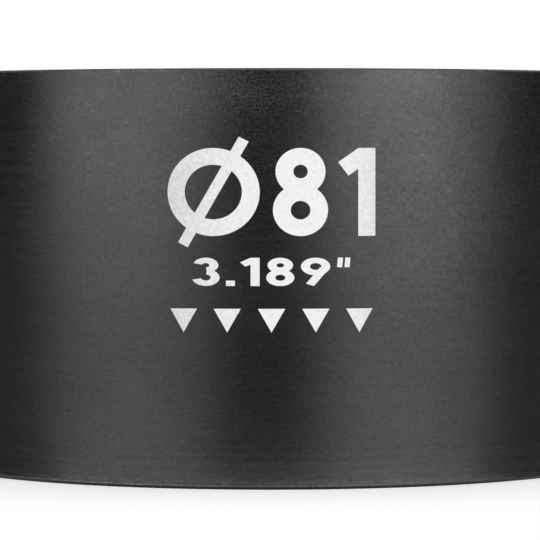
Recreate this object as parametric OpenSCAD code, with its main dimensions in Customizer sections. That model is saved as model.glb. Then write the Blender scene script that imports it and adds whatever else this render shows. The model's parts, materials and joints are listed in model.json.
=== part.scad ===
// Tapered piston ring compressor: a one-piece turned sleeve that stands on the engine block over a cylinder.
// A piston drops into the wide mouth, the taper closes its rings, and the straight land hands them to the bore.
// Frame: millimetres, +Z up along the bore, origin at the centre of the face that rests on the block.

/* [Bore] */
// Finished cylinder bore that the sleeve serves, and the diameter of the sizing land
bore_d = 81; // [60:0.01:110]
// Height of the straight sizing land at the block end
land_h = 9; // [4:0.5:16]
// How much wider than the bore the taper has become at the mouth, on the diameter
taper_gain = 5.2; // [3:0.1:6]
// Radius that eases the taper into the sizing land
blend_r = 90; // [20:5:120]

/* [Body] */
// Height of the sleeve
height = 50.8; // [40:0.1:70]
// Wall at the block end, where it is thickest
wall = 4.5; // [4.5:0.1:8]

/* [Edges] */
// Chamfer round the foot of the outer wall
foot_chamfer = 0.35; // [0.2:0.05:0.8]
// Rounding of the outer edge of the rim
rim_round = 0.25; // [0.1:0.05:0.4]
// Rounding of the lip between the rim and the taper
lip_round = 0.9; // [0.3:0.05:0.9]

/* [Hidden] */
$fn = 192;

// Tone of the black anodised finish
anodised_black = [0.19, 0.19, 0.19];

bore_r = bore_d / 2;
outer_r = bore_r + wall;
mouth_r = bore_r + taper_gain / 2;

// How far past the profile the rounding cuts reach, as a share of their radius
cut_reach = 1.2;
// How far each rounding arc stands past the sides that it joins, so that arc and side cross cleanly
arc_overlap = 0.001;

// Corners of the half section that are rounded, as [radius, height] pairs
land_top = [bore_r, land_h];
lip = [mouth_r, height];
rim_edge = [outer_r, height];

function unit(v) = v / norm(v);

// Takes the tip off one convex corner of a profile with an arc that meets both sides smoothly.
// corner is the tip, side_a and side_b are points further along its two sides, r is the arc's radius.
module corner_cut(corner, side_a, side_b, r) {
  a = unit(side_a - corner);
  b = unit(side_b - corner);
  half_angle = acos(a * b) / 2;
  centre = corner + unit(a + b) * r / sin(half_angle);
  tangent_a = corner + a * r / tan(half_angle);
  tangent_b = corner + b * r / tan(half_angle);
  difference() {
    polygon([for (p = [centre, tangent_a, corner, tangent_b]) centre + (p - centre) * cut_reach]);
    translate(centre) circle(r + arc_overlap);
  }
}

// Half section of the sleeve with sharp corners: foot chamfer, outer wall, rim, taper and sizing land
module sharp_section() {
  polygon([
    [bore_r, 0],
    [outer_r - foot_chamfer, 0],
    [outer_r, foot_chamfer],
    rim_edge,
    lip,
    land_top
  ]);
}

// The half section with its mouth lip, outer rim and taper run-out rounded
module section() {
  difference() {
    sharp_section();
    corner_cut(lip, rim_edge, land_top, lip_round);
    corner_cut(rim_edge, lip, [outer_r, foot_chamfer], rim_round);
    corner_cut(land_top, lip, [bore_r, 0], blend_r);
  }
}

// The whole tool: one turning of black anodised aluminium
module sleeve() {
  color(anodised_black) rotate_extrude() section();
}

sleeve();
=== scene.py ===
"""A turned, black anodised sleeve that closes piston rings on their way into a cylinder, in a studio."""
import json
import math

import bmesh
import bpy
from mathutils import Matrix, Vector


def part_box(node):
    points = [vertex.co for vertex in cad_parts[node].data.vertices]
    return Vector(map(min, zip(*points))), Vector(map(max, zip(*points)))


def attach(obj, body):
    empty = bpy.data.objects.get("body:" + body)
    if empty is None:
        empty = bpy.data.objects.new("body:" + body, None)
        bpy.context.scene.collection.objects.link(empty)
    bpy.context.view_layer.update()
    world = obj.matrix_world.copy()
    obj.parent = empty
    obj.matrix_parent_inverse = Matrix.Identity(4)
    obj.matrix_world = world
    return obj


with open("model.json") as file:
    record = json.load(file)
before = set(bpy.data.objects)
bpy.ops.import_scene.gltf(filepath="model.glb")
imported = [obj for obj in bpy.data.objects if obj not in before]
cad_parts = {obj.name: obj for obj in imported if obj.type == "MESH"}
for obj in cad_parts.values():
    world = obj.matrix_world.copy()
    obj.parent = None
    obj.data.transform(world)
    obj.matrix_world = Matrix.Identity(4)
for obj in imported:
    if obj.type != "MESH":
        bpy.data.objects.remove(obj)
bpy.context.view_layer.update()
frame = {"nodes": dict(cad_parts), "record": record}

MM = 0.001
MM_PER_M = 1000.0
FULL_TURN = 360

# Sizes of the sleeve, read from the frame
mounts = {mount["name"]: mount for mount in frame["record"]["mounts"]}
outer_radius = mounts["outer_wall"]["dims"]["r_mm"] * MM
sleeve_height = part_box("sleeve")[1].z

# Camera, fitted to the two rims in the photograph
EYE_DISTANCE = 477.59 * MM
EYE_HEIGHT = 41.688 * MM
LOOK_DOWN = math.radians(2.0066)
LOOK_RIGHT = math.radians(-0.0239)
ROLL = math.radians(-0.021)
LENS_ON_FULL_FRAME = 240.0
FULL_FRAME_WIDTH = 36.0

# Floor and surroundings
PAPER_WHITE = (1.0, 1.0, 1.0, 1.0)
AMBIENT = 0.5
FLOOR_SIDE = 12.0
FLOOR_WHITE = 0.86
FLOOR_LIFT = 0.27
FAR_FLOOR_LIFT = 0.28
LAMPS_FADE = (0.25, 1.3)

# Softboxes: name, azimuth, elevation, distance, width, height, brightness
SOFTBOXES = (
    ("softbox_left", -52, 20, 0.9, 0.55, 0.4, 1.4),
    ("softbox_right", 44, 20, 0.9, 0.5, 0.4, 2.3),
    ("softbox_top", 0, 85, 1.0, 0.9, 0.9, 1.0),
)
WATTS_PER_SQUARE_METRE = 4.0

# Black cards round the sleeve: name, tone of the painted light near the wall, how far out that tone fades,
# width of the upright part as a share of the far end, and two side edges. An edge starts at a gap from the
# wall and an azimuth on it, and runs out towards another azimuth
BLACK_CARDS = (
    ("front_card", 0.34, 0.12, 0.82, (12 * MM, -14.0, -21.5), (13 * MM, 11.5, 16.5)),
    ("right_card", 0.22, 0.6, 0.64, (4 * MM, 37.0, 71.0), (-1 * MM, 60.0, 128.0)),
    ("back_card", 0.2, 0.3, 0.82, (8 * MM, 173.0, 164.0), (8 * MM, 187.0, 196.0)),
    ("left_card", 0.22, 0.6, 0.72, (-1 * MM, -60.0, -128.0), (3 * MM, -38.0, -74.5)),
)
CARD_REACH = 1.3
CARD_HEIGHT = 2.0
CARD_LIFT = 0.05 * MM
CARD_BLACK = 0.012

# Even noise in the black finish: its shift in mm, cells per mm, layers of detail, their roughness
EVEN_NOISES = {
    "grain": ((0.0, 0.0, 0.0), 2.6, 3.0, 0.55),
    "pits": ((31.0, 17.0, 5.0), 4.4, 2.0, 0.6),
    "mottle": ((11.0, 3.0, 29.0), 0.9, 2.0, 0.5),
    "clouds": ((283.0, 62.0, -90.0), 0.1, 3.0, 0.55),
    "handling": ((140.0, 97.0, 134.0), 0.05, 2.0, 0.5),
    "rub_and_glint_patches": ((3.0, 40.0, 0.0), 0.35, 1.0, 0.5),
    "rub_and_glint_spots": ((3.0, 40.0, 0.0), 2.6, 2.0, 0.6),
}
# Noise drawn out round the sleeve: cells per mm round it and along the tool's feed, layers of detail, their
# roughness
DRAWN_OUT_NOISES = {
    "dashes": (0.6, 4.0, 1.0, 0.5),
    "streaks": (0.025, 1.8, 3.0, 0.6),
    "flecks": (0.9, 2.6, 1.0, 0.5),
}
# Slanted scuffs: sideways lean per mm of height, flattening, cells per mm, layers of detail, their roughness
SCUFF_LEAN = 0.5
SCUFF_FLATTENING = 2.4
SCUFF_NOISE = (0.8, 2.0, 0.5)

# Ramps of the black finish: what is measured, in mm or as noise round 0, where it starts and is full
NEAR_MOUTH = ("below_rim", 30.8, 6.8)
NEAR_FOOT = ("above_foot", 6.0, 1.0)
ON_WALL = ("in_from_wall", 0.5, 0.38)
IN_BORE = ("in_from_wall", 1.1, 1.5)
IN_SCUFF = ("scuffs", 0.15, 0.28)
IN_CLOUD = ("clouds", -0.04, 0.14)
IN_RUB_AND_GLINT_PATCH = ("rub_and_glint_patches", -0.1, 0.1)
IN_RUB_AND_GLINT_SPOT = ("rub_and_glint_spots", -0.08, 0.2)
GRIP = (("above_foot", 14.0, 34.0), ("right_of_middle", 4.0, 18.0), ("right_of_middle", 36.0, 26.0))
FOOT_LINE = (
    ON_WALL,
    ("above_foot", 0.35, 0.41),
    ("above_foot", 0.54, 0.46),
    ("right_of_middle", 34.0, -18.0),
)
# Zones of the black finish: each is the product of its ramps
ZONES = {
    "all_over": (),
    "near_mouth": (NEAR_MOUTH,),
    "haze": (("below_rim", 7.3, 2.8), ("handling", -0.1, 0.1)),
    # The next zone is a painted highlight: the hot spot of the right softbox near the top of the wall
    "painted_highlight": (("below_rim", 4.8, 0.3), ("right_of_middle", 9.0, 15.5), ("right_of_middle", 22.0, 16.5)),
    "mouth_edge": (("below_rim", 0.3, 0.2), ("in_from_wall", 0.3, 0.2)),
    "chips": (ON_WALL, ("below_rim", 0.5, 0.3), ("right_of_middle", -9.0, -14.0), IN_RUB_AND_GLINT_PATCH, IN_RUB_AND_GLINT_SPOT),
    "flecks": (ON_WALL, NEAR_MOUTH, ("flecks", 0.16, 0.3)),
    "scuffed": (NEAR_MOUTH, IN_CLOUD),
    "mouth_scuffs": (NEAR_MOUTH, IN_CLOUD, IN_SCUFF),
    "gripped": GRIP,
    "grip_scuffs": (*GRIP, IN_SCUFF),
    # The next zone is painted shade: a darker band low on the wall, where the highlights are dimmer
    "painted_low_shade": (("above_foot", 5.0, 13.0), ("above_foot", 32.0, 20.0)),
    "on_flanks": (("off_middle", 20.0, 30.0),),
    "inside": (IN_BORE,),
    "on_land": (IN_BORE, ("above_foot", 12.0, 7.0)),
    "near_foot": (NEAR_FOOT,),
    "right_foot": (NEAR_FOOT, ("right_of_middle", -8.0, 16.0)),
    "foot_band": (ON_WALL, ("above_foot", 0.38, 0.5), ("above_foot", 1.4, 0.8)),
    "foot_line": FOOT_LINE,
    "foot_spots": (*FOOT_LINE, IN_RUB_AND_GLINT_SPOT),
    "foot_patches": (*FOOT_LINE, IN_RUB_AND_GLINT_SPOT, IN_RUB_AND_GLINT_PATCH),
    # The chamfer, darkened in the edge tone: painted shade, standing for the shaded floor that it mirrors
    "chamfer": (ON_WALL, ("above_foot", 0.38, 0.31)),
}

# How strong the zones are in one thing: a broken bright line along the foot, partly bare metal where the
# foot was slid over engine blocks and partly painted glints, the tone of the two edges, where the darker
# chamfer is painted shade, the tone of bare metal, and the depth of the pits
RUBBED_AND_GLINTS = {"foot_line": 0.5, "foot_spots": 0.5, "foot_patches": 0.8}
# The chamfer's darker tone here is painted shade
EDGE_TONE = {"all_over": 1.0, "chamfer": -0.5, "mouth_edge": 0.1}
BARE_METAL = {"rubbed_and_glints": 0.11, "chips": 0.09}
PITTED = {"all_over": 1.0, "on_flanks": -0.55}

# How strong each texture is in each zone. An even texture is the same everywhere
DYE = 0.066
# The tone of the black finish. Some zones in it are painted light and painted shade, as marked below
DYE_AND_PAINTED_LIGHT_TONE = {
    "even": {
        "all_over": 1.0,
        # Near the mouth the tone is lighter: painted light, as the top of the wall is lit more than lower
        # down
        "near_mouth": 0.21,
        # The next entry is a painted highlight, lightening the tone where the right softbox's hot spot falls
        "painted_highlight": 0.22,
        "flecks": 0.55,
        "mouth_scuffs": 0.45,
        "grip_scuffs": 0.45,
        # The next entry is painted shade, darkening a band low on the wall
        "painted_low_shade": -0.07,
        "on_land": 0.2,
        "near_foot": 0.036,
        "right_foot": 0.18,
        "foot_band": 0.2,
    },
    "grain": {
        "all_over": 0.55,
        "near_mouth": 0.3,
        "painted_highlight": 0.5,
        "scuffed": 0.4,
        "gripped": 0.3,
        "foot_band": 0.8,
    },
    "mottle": {"gripped": 0.3},
    "clouds": {"all_over": 0.3, "near_mouth": 0.3},
    "dashes": {"all_over": 0.25, "near_foot": 0.25, "foot_band": 0.9},
    "streaks": {"all_over": 0.16, "near_foot": 0.6, "inside": 0.6},
}
# Less metal sheen on the bright foot line lets its painted glints show whatever the wall mirrors there
METAL_SHEEN = {
    "even": {"all_over": 0.95, "on_flanks": -0.02, "haze": -0.3, "rubbed_and_glints": -0.4},
    "pits": {"all_over": -1.2, "near_mouth": -0.6, "haze": -0.9},
}
BLACK_ROUGHNESS = {
    "even": {"all_over": 0.37, "near_mouth": -0.06, "on_land": -0.07, "mouth_edge": 0.4},
    "clouds": {"all_over": 0.05},
    "dashes": {"all_over": 0.06},
    "streaks": {"all_over": 0.08, "inside": 0.16},
}
BLACK_RELIEF = {
    "grain": {"all_over": 0.6},
    "dashes": {"all_over": 0.6, "near_foot": 4.0},
    "streaks": {"all_over": 0.6, "near_foot": 3.0, "inside": 2.0},
}
BLACK_RELIEF_STRENGTH = 0.12
BLACK_RELIEF_DEPTH = 0.02 * MM

# Etched silver, with a painted highlight that is palest at its centre. Places are in mm right of the middle,
# and the loss off the highlight is per square mm, with a further loss past a place on the right
PAINTED_HIGHLIGHT_AT = 2.4
LOSS_OFF_HIGHLIGHT = 0.0011
PAST_HIGHLIGHT = (10.0, 14.0)
LOSS_PAST_HIGHLIGHT = 0.1
FROST_NOISE = (2.4, 3.0, 0.6)
FROST_IN_TONE = 0.5
FROST_IN_ROUGHNESS = 0.2
SILVER_ROUGHNESS = 0.6
PASS_RADIANS_PER_MM = 60.0
PASS_RELIEF = 0.5
SILVER_RELIEF_STRENGTH = 0.15
SILVER_RELIEF_DEPTH = 0.01 * MM

# Etched figures, drawn to a height of 1: width, and strokes along their middle lines. An arc has its centre,
# radius and angles, and a bar its ends and thickness
STROKE = 0.19
SLASH_STROKE = 0.12
PRIME_STROKE = 0.11
FIGURES = {
    "3": (0.56, (("arc", (0.27, 0.733), 0.172, -85, 165), ("arc", (0.27, 0.295), 0.2, -165, 85))),
    "8": (0.59, (("arc", (0.295, 0.733), 0.172, 0, FULL_TURN), ("arc", (0.295, 0.295), 0.2, 0, FULL_TURN))),
    "9": (0.62, (("arc", (0.31, 0.69), 0.215, 0, FULL_TURN), ("bar", (0.49, 0.62), (0.19, 0.04), STROKE))),
    "1": (0.38, (("bar", (0.285, 0), (0.285, 1), STROKE), ("bar", (0.026, 0.762), (0.246, 0.922), STROKE))),
    ".": (0.19, (("bar", (0.095, 0), (0.095, STROKE), STROKE),)),
    "diameter": (
        1.0,
        (("arc", (0.5, 0.5), 0.405, 0, FULL_TURN), ("bar", (0.17, -0.1), (0.83, 1.1), SLASH_STROKE)),
    ),
    "inch": (
        0.28,
        (("bar", (0.06, 0.66), (0.08, 1), PRIME_STROKE), ("bar", (0.22, 0.66), (0.24, 1), PRIME_STROKE)),
    ),
}
FIGURE_GAP = 0.14
# Degrees in one step of an arc, thickness of a stroke while strokes are joined, least rise of an upward face
ARC_STEP = 6
STROKE_BLOCK = 0.2
UPWARD = 0.5

# Etched rows: piece, figures, width along the wall, height of the figures, height of their foot on the wall
MARK_ROWS = (
    ("size_mark", ("diameter", "8", "1"), 25.4 * MM, 10.6 * MM, 30.6 * MM),
    ("inch_mark", ("3", ".", "1", "8", "9", "inch"), 19.0 * MM, 3.4 * MM, 24.6 * MM),
)
POINTER_COUNT = 5
POINTER_CORNERS = 3
POINTER_ROW = 20.9 * MM
POINTER_SPAN = 24.7 * MM
POINTER_SIZE = 3.3 * MM
MARK_DEPTH = 0.05 * MM
MARK_PROUD = 0.025 * MM
MARK_STRIP = 0.5 * MM
FIRST_CUT = 0.19 * MM
SHORTEST_EDGE = 0.02 * MM
# Along this slanted direction no two points of a mark lie level
SORT_DIRECTION = Vector((1.0, math.sqrt(2), math.sqrt(3)))


class Signal:
    """One output in a node tree. Plain arithmetic on it adds Math nodes."""

    def __init__(self, nodes, socket):
        self.nodes = nodes
        self.socket = socket

    def maths(self, operation, *values, clamp=False):
        settings = {"operation": operation, "use_clamp": clamp}
        return self.nodes.add("Math", settings, dict(enumerate(values)))

    def __add__(self, other):
        return self.maths("ADD", self, other)

    def __radd__(self, other):
        return self.maths("ADD", other, self)

    def __sub__(self, other):
        return self.maths("SUBTRACT", self, other)

    def __rsub__(self, other):
        return self.maths("SUBTRACT", other, self)

    def __mul__(self, other):
        return self.maths("MULTIPLY", self, other)

    def __rmul__(self, other):
        return self.maths("MULTIPLY", other, self)

    def __abs__(self):
        return self.maths("ABSOLUTE", self)

    def clamped(self):
        return self.maths("ADD", self, 0.0, clamp=True)


class Nodes:
    """A node tree under construction, with one way to add a node."""

    MIDDLE_OF_NOISE = 0.5

    def __init__(self, tree):
        self.tree = tree
        tree.nodes.clear()

    def add(self, kind, settings=None, sockets=None, output=0):
        node = self.tree.nodes.new("ShaderNode" + kind)
        for name, value in (settings or {}).items():
            setattr(node, name, value)
        for name, value in (sockets or {}).items():
            if isinstance(value, Signal):
                self.tree.links.new(value.socket, node.inputs[name])
            else:
                node.inputs[name].default_value = value
        return Signal(self, node.outputs[output]) if len(node.outputs) else None

    def step(self, value, start, end):
        """Goes smoothly from 0 at start to 1 at end, whichever of the two is larger."""
        sockets = {"Value": value, "From Min": start, "From Max": end}
        return self.add("MapRange", {"interpolation_type": "SMOOTHSTEP"}, sockets)

    def noise(self, place, cells, detail, roughness):
        """Noise round 0."""
        sockets = {"Vector": place, "Scale": cells, "Detail": detail, "Roughness": roughness}
        return self.add("TexNoise", None, sockets) - self.MIDDLE_OF_NOISE

    def moved(self, place, by):
        return self.add("VectorMath", {"operation": "ADD"}, {0: place, 1: by})

    def length(self, vector):
        return self.add("VectorMath", {"operation": "LENGTH"}, {0: vector}, output="Value")

    def vector(self, x, y, z):
        return self.add("CombineXYZ", None, {"X": x, "Y": y, "Z": z})

    def grey(self, value):
        return self.add("CombineColor", None, {"Red": value, "Green": value, "Blue": value})

    def place(self):
        return self.add("TexCoord", output="Object")

    def place_in_mm(self):
        """A point's place in mm, whole and along each axis."""
        place = self.add("VectorMath", {"operation": "SCALE"}, {0: self.place(), "Scale": MM_PER_M})
        axes = [self.add("SeparateXYZ", None, {"Vector": place}, output=axis) for axis in "XYZ"]
        return place, *axes

    def seen_directly_or_mirrored(self):
        """1 for rays from the camera and for rays that a glossy or clear surface sends on."""
        kinds = ("Is Camera Ray", "Is Glossy Ray", "Is Transmission Ray")
        camera, glossy, clear = [self.add("LightPath", output=kind) for kind in kinds]
        return camera.maths("MAXIMUM", camera, camera.maths("MAXIMUM", glossy, clear))


def new_material(name):
    material = bpy.data.materials.new(name)
    material.use_nodes = True
    return material, Nodes(material.node_tree)


def put_on_surface(nodes, shader):
    nodes.add("OutputMaterial", None, {"Surface": shader})


def level(strengths, zones):
    """Adds up zones, each at its own strength."""
    return sum(strength * zones[zone] for zone, strength in strengths.items())


def mixed(recipe, textures, zones):
    """Adds up textures, each as strong as the recipe says for each zone."""
    return sum(level(strengths, zones) * textures[texture] for texture, strengths in recipe.items())


def finish_noises(nodes, place, x, y, z, radius):
    """All noise in the black finish, by name."""
    noises = {}
    for name, (shift, *pattern) in EVEN_NOISES.items():
        noises[name] = nodes.noise(nodes.moved(place, shift), *pattern)

    # The tool feeds up the wall or out along a face, so its marks change fast that way and slowly round
    feed = z + radius
    for name, (cells_round, cells_along, *detail) in DRAWN_OUT_NOISES.items():
        lines = nodes.vector(x * cells_round, y * cells_round, feed * cells_along)
        noises[name] = nodes.noise(lines, 1.0, *detail)

    slanted = nodes.vector(x + SCUFF_LEAN * z, y, z * SCUFF_FLATTENING)
    noises["scuffs"] = nodes.noise(slanted, *SCUFF_NOISE)
    return noises


def finish_zones(nodes, measures):
    """All zones of the black finish, by name."""
    zones = {}
    for name, ramps in ZONES.items():
        zones[name] = math.prod(nodes.step(measures[measure], start, end) for measure, start, end in ramps)
    # A bright broken line along the foot: partly worn bare metal, partly painted glints
    zones["rubbed_and_glints"] = level(RUBBED_AND_GLINTS, zones)
    return zones


def anodised_black():
    """Dyed hard anodising over fine turning marks, worn through to bare metal along the foot. The bright
    broken line there is partly painted glints, and the tone holds painted light and shade.
    """
    material, nodes = new_material("black_anodised_turned")
    place, x, y, z = nodes.place_in_mm()
    radius = nodes.length(nodes.vector(x, y, 0.0))
    noises = finish_noises(nodes, place, x, y, z, radius)
    measures = {
        "right_of_middle": x,
        "off_middle": abs(x),
        "above_foot": z,
        "below_rim": sleeve_height * MM_PER_M - z,
        "in_from_wall": outer_radius * MM_PER_M - radius,
        **noises,
    }
    zones = finish_zones(nodes, measures)
    textures = {**noises, "even": 1.0, "pits": noises["pits"] * level(PITTED, zones)}

    tone = mixed(DYE_AND_PAINTED_LIGHT_TONE, textures, zones) * level(EDGE_TONE, zones)
    # The base colour: the black tone, with its painted light, and bare metal
    dye_and_painted_light = DYE * tone + level(BARE_METAL, zones)
    relief = {
        "Strength": BLACK_RELIEF_STRENGTH,
        "Distance": BLACK_RELIEF_DEPTH,
        "Height": mixed(BLACK_RELIEF, textures, zones),
    }
    finish = {
        "Base Color": nodes.grey(dye_and_painted_light.clamped()),
        "Metallic": mixed(METAL_SHEEN, textures, zones).clamped(),
        "Roughness": mixed(BLACK_ROUGHNESS, textures, zones).clamped(),
        "Normal": nodes.add("Bump", None, relief),
    }
    put_on_surface(nodes, nodes.add("BsdfPrincipled", None, finish))
    return material


def etched_silver():
    """Anodising bleached by a marking laser in fine level passes, with a painted highlight: palest at its
    centre and darker to the sides, most to the right.
    """
    material, nodes = new_material("etched_silver")
    place, x, _, z = nodes.place_in_mm()
    passes = z.maths("SINE", z * PASS_RADIANS_PER_MM)
    frost = nodes.noise(place, *FROST_NOISE)
    # Painted highlight: the tone falls away from the highlight's centre, and further on the right
    off_highlight = x - PAINTED_HIGHLIGHT_AT
    loss = LOSS_OFF_HIGHLIGHT * off_highlight * off_highlight + LOSS_PAST_HIGHLIGHT * nodes.step(x, *PAST_HIGHLIGHT)
    tone = 1.0 - loss + FROST_IN_TONE * frost
    relief = {
        "Strength": SILVER_RELIEF_STRENGTH,
        "Distance": SILVER_RELIEF_DEPTH,
        "Height": PASS_RELIEF * passes + frost,
    }
    finish = {
        "Base Color": nodes.grey(tone.clamped()),
        "Roughness": SILVER_ROUGHNESS + FROST_IN_ROUGHNESS * frost,
        "Normal": nodes.add("Bump", None, relief),
    }
    put_on_surface(nodes, nodes.add("BsdfPrincipled", None, finish))
    return material


def pale_floor():
    """White sweep. Its lift is the background's white, and the object's shadow stays on it."""
    material, nodes = new_material("pale_floor")
    white = (FLOOR_WHITE, FLOOR_WHITE, FLOOR_WHITE, 1.0)
    matt = nodes.add("BsdfDiffuse", None, {"Color": white})
    distance = nodes.length(nodes.place())
    lift_tone = FLOOR_LIFT + FAR_FLOOR_LIFT * nodes.step(distance, *LAMPS_FADE)
    seen = nodes.seen_directly_or_mirrored()
    lift = nodes.add("Emission", None, {"Color": nodes.grey(lift_tone), "Strength": seen})
    put_on_surface(nodes, nodes.add("AddShader", None, {0: matt, 1: lift}))
    return material


def black_card(painted_light_tone, fade):
    """Black paper with painted light: it fades to a paler tone near the sleeve."""
    material, nodes = new_material("black_card")
    distance = nodes.length(nodes.place())
    # Painted light: the paler tone near the sleeve stands for light on the floor there
    tone = CARD_BLACK + painted_light_tone * nodes.step(distance, fade, outer_radius)
    put_on_surface(nodes, nodes.add("BsdfDiffuse", None, {"Color": nodes.grey(tone)}))
    return material


def make_piece(name, form, *materials):
    """Turns a bmesh into an object at the origin, with its place in its mesh."""
    mesh = bpy.data.meshes.new(name)
    form.to_mesh(mesh)
    form.free()
    for material in materials:
        mesh.materials.append(material)
    piece = bpy.data.objects.new(name, mesh)
    bpy.context.scene.collection.objects.link(piece)
    return piece


def new_verts(extruded):
    return [item for item in extruded["geom"] if isinstance(item, bmesh.types.BMVert)]


def settle_order(form):
    """Sorts points and edges by place, because a join or a cut lists them in another order on each run."""
    form.verts.sort(key=lambda vert: vert.co.dot(SORT_DIRECTION))
    form.edges.sort(key=lambda edge: (edge.verts[0].co + edge.verts[1].co).dot(SORT_DIRECTION))


def cut_into_strips(form, half_width):
    """Cuts a flat shape into upright strips, so that it can follow the round wall."""
    cuts = int(half_width / MARK_STRIP)
    for cut in range(-cuts, cuts + 1):
        geometry = form.verts[:] + form.edges[:] + form.faces[:]
        place = (FIRST_CUT + cut * MARK_STRIP, 0, 0)
        bmesh.ops.bisect_plane(form, geom=geometry, plane_co=place, plane_no=(1, 0, 0))
    settle_order(form)
    bmesh.ops.dissolve_degenerate(form, dist=SHORTEST_EDGE, edges=form.edges[:])


def wrap_on_wall(form, half_width):
    """Lays a flat shape drawn in X and Y round the front of the wall, and gives it its depth."""
    cut_into_strips(form, half_width)
    face_radius = outer_radius + MARK_PROUD
    for vert in form.verts:
        turn = vert.co.x / outer_radius
        vert.co = (face_radius * math.sin(turn), -face_radius * math.cos(turn), vert.co.y)
    back = new_verts(bmesh.ops.extrude_face_region(form, geom=form.faces[:]))
    inward = (face_radius - MARK_DEPTH) / face_radius
    bmesh.ops.scale(form, vec=(inward, inward, 1), verts=back)
    bmesh.ops.recalc_face_normals(form, faces=form.faces[:])


def arc_stroke(centre, radius, start, end):
    """A ring, or a part of one with square ends."""
    form = bmesh.new()
    middle = Vector((*centre, 0))
    aim = Matrix.Rotation(math.radians(start), 3, "Z") @ Vector((1, 0, 0))
    ends = [form.verts.new(middle + aim * (radius + side * STROKE / 2)) for side in (-1, 1)]
    edge = form.edges.new(ends)
    bmesh.ops.spin(
        form,
        geom=[*ends, edge],
        cent=middle,
        axis=(0, 0, 1),
        angle=math.radians(end - start),
        steps=round((end - start) / ARC_STEP),
        use_merge=end - start == FULL_TURN,
    )
    return form


def bar_stroke(start, end, thickness):
    """A straight stroke from one point to another, made from a square of side 1."""
    form = bmesh.new()
    start, end = Vector((*start, 0)), Vector((*end, 0))
    run = end - start
    bmesh.ops.create_grid(form, x_segments=1, y_segments=1, size=1 / 2)
    bmesh.ops.scale(form, vec=(run.length, thickness, 1), verts=form.verts[:])
    turn = Matrix.Rotation(math.atan2(run.y, run.x), 4, "Z")
    bmesh.ops.transform(form, matrix=Matrix.Translation((start + end) / 2) @ turn, verts=form.verts[:])
    return form


def stroke_block(kind, *sizes):
    """One stroke of a figure, thick enough to be joined with the others."""
    form = arc_stroke(*sizes) if kind == "arc" else bar_stroke(*sizes)
    bmesh.ops.recalc_face_normals(form, faces=form.faces[:])
    raised = new_verts(bmesh.ops.extrude_face_region(form, geom=form.faces[:]))
    bmesh.ops.translate(form, vec=(0, 0, STROKE_BLOCK), verts=raised)
    bmesh.ops.recalc_face_normals(form, faces=form.faces[:])
    return form


def joined_outline(blocks):
    """The flat top of several blocks that cross, as one filled outline."""
    pieces = [make_piece(f"stroke_{index}", block) for index, block in enumerate(blocks)]
    for other in pieces[1:]:
        join = pieces[0].modifiers.new("join", "BOOLEAN")
        join.operation = "UNION"
        join.object = other
    outline = bmesh.new()
    outline.from_object(pieces[0], bpy.context.evaluated_depsgraph_get())
    for piece in pieces:
        bpy.data.meshes.remove(piece.data)

    rest = [face for face in outline.faces if face.normal.z < UPWARD]
    bmesh.ops.delete(outline, geom=rest, context="FACES")
    inner_edges = [edge for edge in outline.edges if not edge.is_boundary]
    bmesh.ops.delete(outline, geom=outline.faces[:], context="FACES_ONLY")
    bmesh.ops.delete(outline, geom=inner_edges, context="EDGES")
    bmesh.ops.translate(outline, vec=(0, 0, -STROKE_BLOCK), verts=outline.verts[:])
    settle_order(outline)
    bmesh.ops.triangle_fill(outline, edges=outline.edges[:], use_beauty=True)
    return outline


def etched_row(name, figures, width, height, foot, material):
    """One row of plain figures, drawn to a width and a height and etched round the wall."""
    blocks = []
    reach = 0
    for figure in figures:
        figure_width, strokes = FIGURES[figure]
        for stroke in strokes:
            block = stroke_block(*stroke)
            bmesh.ops.translate(block, vec=(reach, 0, 0), verts=block.verts[:])
            blocks.append(block)
        reach += figure_width + FIGURE_GAP
    reach -= FIGURE_GAP
    form = joined_outline(blocks)
    bmesh.ops.translate(form, vec=(-reach / 2, 0, 0), verts=form.verts[:])
    bmesh.ops.scale(form, vec=(width / reach, height, 1), verts=form.verts[:])
    bmesh.ops.translate(form, vec=(0, foot, 0), verts=form.verts[:])
    wrap_on_wall(form, width / 2)
    mark = make_piece(name, form, material)
    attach(mark, "root")


def etched_pointers(material):
    """A row of triangles that point at the face that goes on the block."""
    form = bmesh.new()
    spacing = (POINTER_SPAN - POINTER_SIZE) / (POINTER_COUNT - 1)
    corner_reach = POINTER_SIZE / math.sqrt(3)
    for index in range(POINTER_COUNT):
        middle = (index - (POINTER_COUNT - 1) / 2) * spacing
        place = Matrix.Translation((middle, POINTER_ROW, 0)) @ Matrix.Rotation(math.pi, 4, "Z")
        bmesh.ops.create_circle(
            form,
            cap_ends=True,
            segments=POINTER_CORNERS,
            radius=corner_reach,
            matrix=place,
        )
    wrap_on_wall(form, POINTER_SPAN / 2)
    mark = make_piece("block_side_pointers", form, material)
    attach(mark, "root")


def hide_from_all_but_mirrors(card):
    """A studio card that only reflections see: it throws no shadow and takes no light from the object."""
    card.visible_camera = False
    card.visible_diffuse = False
    card.visible_transmission = False
    card.visible_volume_scatter = False
    card.visible_shadow = False


def towards(azimuth):
    """A level direction. Azimuth 0 points at the camera's side and 90 to its right."""
    turn = math.radians(azimuth)
    return Vector((math.sin(turn), -math.cos(turn), 0))


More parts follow.
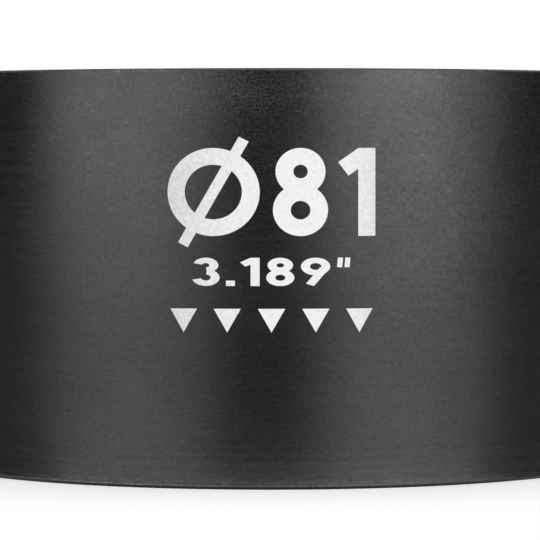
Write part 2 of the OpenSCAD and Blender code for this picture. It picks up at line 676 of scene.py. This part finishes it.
def bent_card(upright_share, *edges):
    """A card that lies on the floor, outwards from the sleeve, and a narrower one that stands at its end."""
    form = bmesh.new()
    lift = Vector((0, 0, CARD_LIFT))
    near = [form.verts.new((outer_radius + gap) * towards(start) + lift) for gap, start, _ in edges]
    form.edges.new(near)
    far = new_verts(bmesh.ops.extrude_edge_only(form, edges=form.edges[:]))
    for vert, (_, _, way) in zip(far, edges):
        vert.co += CARD_REACH * towards(way)
    middle = (far[0].co + far[1].co) / 2
    upright = form.edges.new([form.verts.new(middle.lerp(vert.co, upright_share)) for vert in far])
    top = new_verts(bmesh.ops.extrude_edge_only(form, edges=[upright]))
    bmesh.ops.translate(form, vec=(0, 0, CARD_HEIGHT), verts=top)
    return form


def make_studio():
    floor_form = bmesh.new()
    bmesh.ops.create_grid(floor_form, x_segments=1, y_segments=1, size=FLOOR_SIDE / 2)
    make_piece("studio_floor", floor_form, pale_floor())

    for name, painted_light_tone, fade, upright_share, *edges in BLACK_CARDS:
        card = make_piece(name, bent_card(upright_share, *edges), black_card(painted_light_tone, fade))
        hide_from_all_but_mirrors(card)


def softbox(name, azimuth, elevation, distance, width, height, brightness):
    """An area lamp that faces the sleeve. Azimuth 0 is on the camera's side, brightness 1 is paper white."""
    lamp = bpy.data.lights.new(name, "AREA")
    lamp.shape = "RECTANGLE"
    lamp.size = width
    lamp.size_y = height
    lamp.energy = brightness * WATTS_PER_SQUARE_METRE * width * height
    holder = bpy.data.objects.new(name, lamp)
    bpy.context.scene.collection.objects.link(holder)
    rise = math.radians(elevation)
    aim = math.cos(rise) * towards(azimuth) + Vector((0, 0, math.sin(rise)))
    holder.location = Vector((0, 0, sleeve_height / 2)) + distance * aim
    holder.rotation_euler = aim.to_track_quat("Z", "Y").to_euler()
    holder.visible_camera = False


def light_studio():
    """Even white surroundings, which are paper white where they are seen, and the softboxes."""
    world = bpy.data.worlds.new("studio_white")
    bpy.context.scene.world = world
    world.use_nodes = True
    world.cycles.sampling_method = "NONE"
    nodes = Nodes(world.node_tree)
    strength = AMBIENT + (1.0 - AMBIENT) * nodes.seen_directly_or_mirrored()
    white = nodes.add("Background", None, {"Color": PAPER_WHITE, "Strength": strength})
    nodes.add("OutputWorld", None, {"Surface": white})
    for box in SOFTBOXES:
        softbox(*box)


def make_camera():
    lens = bpy.data.cameras.new("camera")
    lens.sensor_width = FULL_FRAME_WIDTH
    lens.lens = LENS_ON_FULL_FRAME
    camera = bpy.data.objects.new("camera", lens)
    bpy.context.scene.collection.objects.link(camera)
    eye = Matrix.Translation((0, -EYE_DISTANCE, EYE_HEIGHT))
    heading = Matrix.Rotation(-LOOK_RIGHT, 4, "Z")
    tilt = Matrix.Rotation(math.pi / 2 - LOOK_DOWN, 4, "X")
    roll = Matrix.Rotation(ROLL, 4, "Z")
    camera.matrix_world = eye @ heading @ tilt @ roll
    bpy.context.scene.camera = camera


bpy.context.scene.view_settings.view_transform = "Standard"
make_camera()
make_studio()
light_studio()

sleeve = frame["nodes"]["sleeve"]
for slot in sleeve.material_slots:
    slot.material = anodised_black()

silver = etched_silver()
for row in MARK_ROWS:
    etched_row(*row, silver)
etched_pointers(silver)
